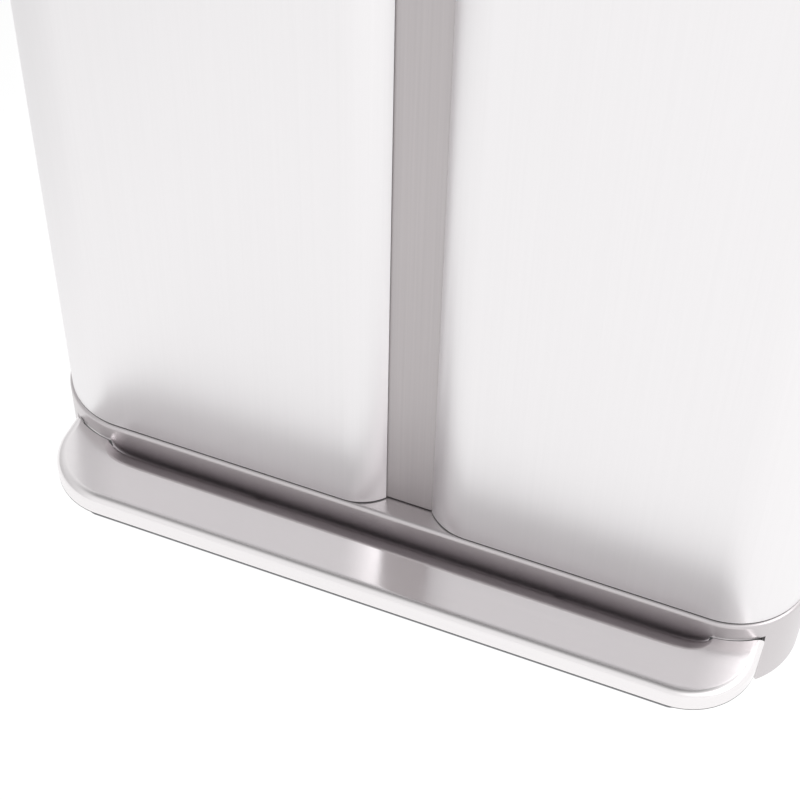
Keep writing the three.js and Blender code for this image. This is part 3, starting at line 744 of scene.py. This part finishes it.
# ---------------------------------------------------------------- lid and cover
def add_lid():
    edge = LID_HIGH.x - HALF_WIDTH
    back = LID_HIGH.y
    front = FRONT_Y + FRONT_RADIUS
    centre = HALF_WIDTH - FRONT_RADIUS
    radius = FRONT_RADIUS + edge
    line = [
        (-HALF_WIDTH - edge, back, -1, 0),
        *arc(-centre, front, radius, 180, 270),
        *arc(centre, front, radius, 270, 360),
        (HALF_WIDTH + edge, back, 1, 0),
    ]
    loops = [ring(line, 0, LID_LOW.z), ring(line, 0, LID_LOW.z + SKIRT_STEP)]
    for inset, drop in quarter(LID_EDGE, EDGE_STEPS):
        loops.append(ring(line, -inset, LID_HIGH.z - drop))
    points, faces = loft(loops, closed=False, caps=(False, True))
    piece(
        "lid_top_panel", "lid", "brushed_steel", points, faces, ["lid_skin"],
        thickness=SHEET, material="lid_steel",
    )


def add_hinge_cover():
    edge = COVER_HIGH.x - HALF_WIDTH
    back = BACK_Y - BACK_RADIUS
    centre = HALF_WIDTH - BACK_RADIUS
    radius = BACK_RADIUS + edge
    start = math.degrees(math.asin((COVER_LOW.y - back) / radius))
    line = [
        *arc(centre, back, radius, start, 90),
        *arc(-centre, back, radius, 90, 180 - start),
    ]
    loops = [ring(line, 0, COVER_LOW.z), ring(line, 0, COVER_LOW.z + SKIRT_STEP)]
    for inset, drop in quarter(LID_EDGE, EDGE_STEPS):
        loops.append(ring(line, -inset, COVER_HIGH.z - drop))
    points, faces = loft(loops, closed=False, caps=(False, True))
    piece(
        "rear_hinge_cover", "bin", "black_plastic", points, faces, ["hinge_cover"],
        thickness=COVER_WALL,
    )


# ---------------------------------------------------------------- buckets
BUCKET_CORNER = 46
BUCKET_WALL = 2
BUCKET_DRAFT = 0.9  # size of the bucket's foot as a share of its top
BUCKET_FLANGE = 3
BUCKET_RIM = 2.5
BUCKET_FLOOR = 2.5
BUCKET_FOOT = 6


def add_buckets():
    collar_top = extent("collar")[1].z
    for name in ("left", "right"):
        low, high = extent(f"bucket_{name}")
        centre = (low + high) / 2
        half = (high - low) / 2
        half_x, half_y = half.x - BUCKET_FLANGE, half.y - BUCKET_FLANGE
        line = rounded_rectangle(-half_x, -half_y, half_x, half_y, BUCKET_CORNER, BUCKET_CORNER)

        def level(offset, z):
            height = min(max((z - low.z) / (collar_top - low.z), 0), 1)
            size = BUCKET_DRAFT + (1 - BUCKET_DRAFT) * height
            loop = ring(line, offset, z)
            return [(centre.x + x * size, centre.y + y * size, z) for x, y, _ in loop]

        rim = high.z - BUCKET_RIM
        outside = [level(-i, low.z + d) for i, d in reversed(quarter(BUCKET_FOOT, 5))]
        lip = [level(0, rim), level(BUCKET_FLANGE - 0.6, rim), level(BUCKET_FLANGE, rim + 0.6)]
        lip += [level(BUCKET_FLANGE - i, high.z - d) for i, d in quarter(1.2, 4)]
        lip += [level(-BUCKET_WALL + i, high.z - d) for i, d in reversed(quarter(0.8, 3))]
        floor_z = low.z + BUCKET_FLOOR
        inside = [level(-BUCKET_WALL - i, floor_z + d) for i, d in quarter(BUCKET_FOOT - 1, 5)]
        points, faces = loft([*outside, *lip, *inside])
        piece(
            f"inner_bucket_{name}", f"bucket_{name}", "bucket_plastic", points, faces,
            [f"bucket_{name}"],
        )


# ---------------------------------------------------------------- carried-over CAD nodes
def dress_frame_nodes():
    slots = {row["node"]: row["material_slot"] for row in frame["record"]["subparts"]}
    for name, obj in frame["nodes"].items():
        if obj.hide_render:
            continue
        obj.data.materials.clear()
        obj.data.materials.append(MATERIALS[slots[name]])
        finish_surface(obj, 0.3)


# ---------------------------------------------------------------- studio
FLOOR_HALF = 12
FLOOR_DROP = 0.0003
SHADE_HALF_X = 0.2  # painted shadow: the floor stays dark over this half size and fades to its glow beyond it
SHADE_HALF_Y = 0.095
SHADE_FADE = 0.035
SKY_STOPS = ((0.0, 1.05), (0.6, 1.05), (0.82, 0.84), (0.94, 0.36), (1.0, 0.3))
CAMERA_LENS = 94.5
CAMERA_SENSOR = 36
CAMERA_ANGLES = (20.235, 50.731, 1.430)  # degrees of yaw, downward pitch and roll
CAMERA_PLACE = (0.30754, -0.94934, 1.3166)


def add_floor():
    """A glowing white floor with a painted soft shadow under the bin, its glow painted dimmer to
    the left and brighter to the right.
    """
    size = FLOOR_HALF
    corners = [(-size, -size, 0), (size, -size, 0), (size, size, 0), (-size, size, 0)]
    mesh = bpy.data.meshes.new("studio_floor")
    drop = Vector((0, 0, FLOOR_DROP))
    mesh.from_pydata([Vector(corner) - drop for corner in corners], [], [(0, 1, 2, 3)])
    floor = bpy.data.objects.new("studio_floor", mesh)
    bpy.context.scene.collection.objects.link(floor)
    nodes = Nodes("studio_floor")
    grain = nodes.noise(40, 3)
    place = nodes.add("ShaderNodeTexCoord").outputs["Object"]
    parts = nodes.add("ShaderNodeSeparateXYZ", {0: place}).outputs
    # painted shadow: the floor's glow drops under the bin and comes back beyond it
    beyond = []
    for axis, half in (("X", SHADE_HALF_X), ("Y", SHADE_HALF_Y)):
        outside = nodes.combine(nodes.combine(parts[axis], 0, "ABSOLUTE"), half, "SUBTRACT")
        beyond.append(nodes.combine(nodes.combine(outside, 0, "MAXIMUM"), 2, "POWER"))
    distance = nodes.combine(nodes.combine(*beyond), 0.5, "POWER")
    # painted light: the floor's glow is dimmer to the left and brighter to the right
    left = nodes.spread(parts["X"], 0.8, 1.0, -1.0, -0.4)
    right = nodes.spread(parts["X"], 0.0, 0.06, -0.1, 0.5)
    nodes.set(
        Base_Color=nodes.blend(grain, (0.05, 0.05, 0.05, 1), (0.06, 0.06, 0.06, 1)),
        Roughness=0.9,
        Emission_Color=(1, 1, 1, 1),
        Emission_Strength=nodes.combine(
            nodes.spread(distance, 0.1, 1.0, 0.0, SHADE_FADE),
            nodes.combine(left, right),
            "MULTIPLY",
        ),
        Specular_IOR_Level=0.0,
    )
    floor.data.materials.append(nodes.material)


def add_world():
    """A white sky, darker overhead, dimmer to the left and brighter high on the right."""
    world = bpy.data.worlds.new("studio")
    world.use_nodes = True
    bpy.context.scene.world = world
    tree = world.node_tree
    background = tree.nodes["Background"]

    def spread(value, from_low, from_high, low, high, interpolation="LINEAR"):
        inputs = {
            "Value": value,
            "From Min": from_low,
            "From Max": from_high,
            "To Min": low,
            "To Max": high,
        }
        node = add_node(tree, "ShaderNodeMapRange", inputs, interpolation_type=interpolation)
        return node.outputs[0]

    def combine(a, b, operation):
        return add_node(tree, "ShaderNodeMath", {0: a, 1: b}, operation=operation).outputs[0]

    direction = add_node(tree, "ShaderNodeTexCoord").outputs["Generated"]
    parts = add_node(tree, "ShaderNodeSeparateXYZ", {0: direction}).outputs
    height = add_node(tree, "ShaderNodeValToRGB", {"Fac": parts["Z"]})
    elements = height.color_ramp.elements
    while len(elements) < len(SKY_STOPS):
        elements.new(0.5)
    for element, (place, value) in zip(elements, SKY_STOPS):
        element.position = place
        element.color = (value, value, value, 1)
    dim_left = spread(parts["X"], -1.0, -0.4, 0.6, 0.92)
    side = spread(parts["X"], 0.0, 0.5, 0.0, 0.5, "SMOOTHSTEP")
    high = spread(parts["Z"], 0.3, 0.65, 0.15, 1.0)
    across = combine(dim_left, combine(side, high, "MULTIPLY"), "ADD")
    behind = spread(parts["Y"], -0.1, 0.35, 1.0, 1.05, "SMOOTHSTEP")
    around = combine(across, behind, "MULTIPLY")
    level = combine(height.outputs["Color"], around, "MULTIPLY")
    set_socket(tree, background.inputs["Strength"], level)
    background.inputs["Color"].default_value = (1, 0.995, 1, 1)


def add_light(name, place, target, size, power):
    data = bpy.data.lights.new(name, "AREA")
    data.shape = "RECTANGLE"
    data.size, data.size_y = size
    data.energy = power
    lamp = bpy.data.objects.new(name, data)
    lamp.location = place
    direction = Vector(target) - Vector(place)
    lamp.rotation_euler = direction.to_track_quat("-Z", "Y").to_euler()
    bpy.context.scene.collection.objects.link(lamp)


def add_camera():
    """The view from above the front right, looking down at the pedal."""
    data = bpy.data.cameras.new("camera")
    data.lens = CAMERA_LENS
    data.sensor_width = CAMERA_SENSOR
    data.clip_start = 0.01
    yaw, pitch, roll = (math.radians(angle) for angle in CAMERA_ANGLES)
    forward = Vector((
        -math.sin(yaw) * math.cos(pitch), math.cos(yaw) * math.cos(pitch), -math.sin(pitch),
    ))
    level = Vector((math.cos(yaw), math.sin(yaw), 0))
    upward = level.cross(forward)
    right = math.cos(roll) * level + math.sin(roll) * upward
    up = math.cos(roll) * upward - math.sin(roll) * level
    camera = bpy.data.objects.new("camera", data)
    camera.matrix_world = Matrix((
        (right.x, up.x, -forward.x, CAMERA_PLACE[0]),
        (right.y, up.y, -forward.y, CAMERA_PLACE[1]),
        (right.z, up.z, -forward.z, CAMERA_PLACE[2]),
        (0, 0, 0, 1),
    ))
    bpy.context.scene.collection.objects.link(camera)
    bpy.context.scene.camera = camera


def main():
    add_camera()
    add_shells()
    add_centre_strip()
    add_gap_shade_sheets()
    add_back_panel()
    add_base()
    add_corner_shade_sheets()
    add_foot_posts()
    add_pedal_plate()
    add_lid()
    add_hinge_cover()
    add_buckets()
    dress_frame_nodes()
    add_floor()
    add_world()
    add_light("right_softbox", (2.4, -0.6, 1.5), (0, 0, 0.3), (1.6, 1.6), 12)
    bpy.context.scene.view_settings.view_transform = "Standard"


main()
